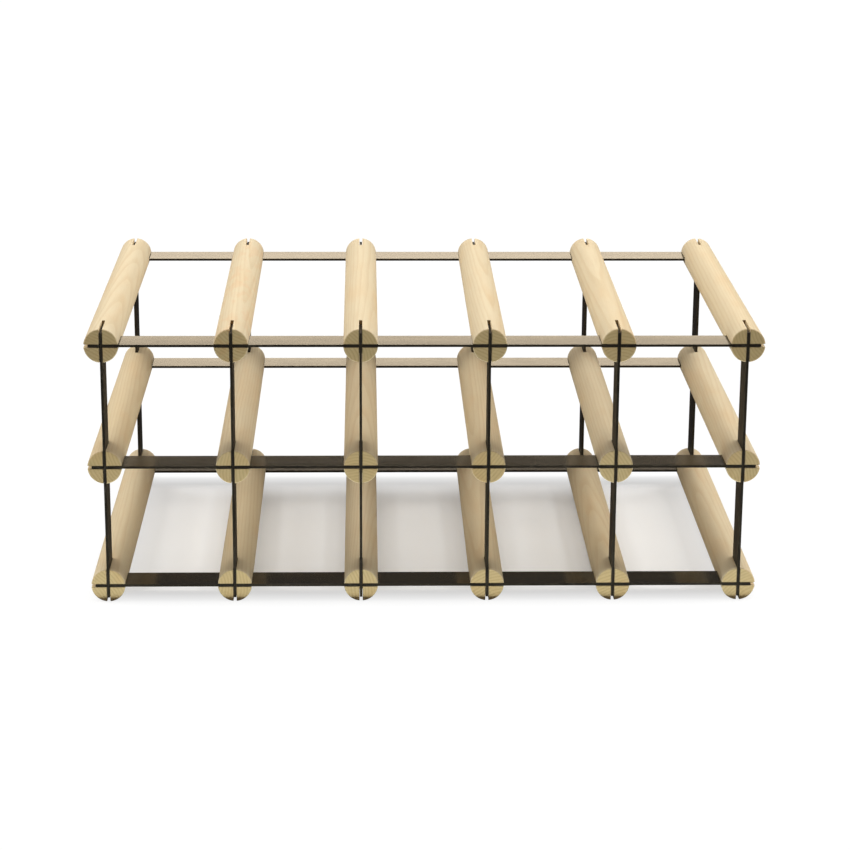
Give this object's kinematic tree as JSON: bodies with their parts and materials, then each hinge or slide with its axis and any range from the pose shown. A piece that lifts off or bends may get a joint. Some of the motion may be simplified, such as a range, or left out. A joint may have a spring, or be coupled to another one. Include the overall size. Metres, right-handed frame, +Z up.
{
  "type": "wine rack",
  "caption": "Free-standing wine rack of round wooden pegs joined front and rear by a grid of flat steel strips, with open bays that each hold one bottle on its side.",
  "frame": {"origin": "on the ground, under the middle of the rack's width and depth", "axes": "+X to the right seen from the front, along the crossbars; +Y from front to rear, along the pegs; +Z up"},
  "size_m": [0.5375, 0.33, 0.2275],
  "materials": {
    "wood": "bare, sanded, unvarnished",
    "steel": "dark brown-black satin"
  },
  "bodies": {
    "root": {"peg_bottom_1": "wood", "peg_bottom_2": "wood", "peg_bottom_3": "wood", "peg_bottom_4": "wood", "peg_bottom_5": "wood", "peg_bottom_6": "wood", "peg_middle_1": "wood", "peg_middle_2": "wood", "peg_middle_3": "wood", "peg_middle_4": "wood", "peg_middle_5": "wood", "peg_middle_6": "wood", "peg_top_1": "wood", "peg_top_2": "wood", "peg_top_3": "wood", "peg_top_4": "wood", "peg_top_5": "wood", "peg_top_6": "wood", "front_crossbar_bottom": "steel", "front_crossbar_middle": "steel", "front_crossbar_top": "steel", "rear_crossbar_bottom": "steel", "rear_crossbar_middle": "steel", "rear_crossbar_top": "steel", "front_upright_1": "steel", "front_upright_2": "steel", "front_upright_3": "steel", "front_upright_4": "steel", "front_upright_5": "steel", "front_upright_6": "steel", "rear_upright_1": "steel", "rear_upright_2": "steel", "rear_upright_3": "steel", "rear_upright_4": "steel", "rear_upright_5": "steel", "rear_upright_6": "steel"}
  },
  "joints": []
}
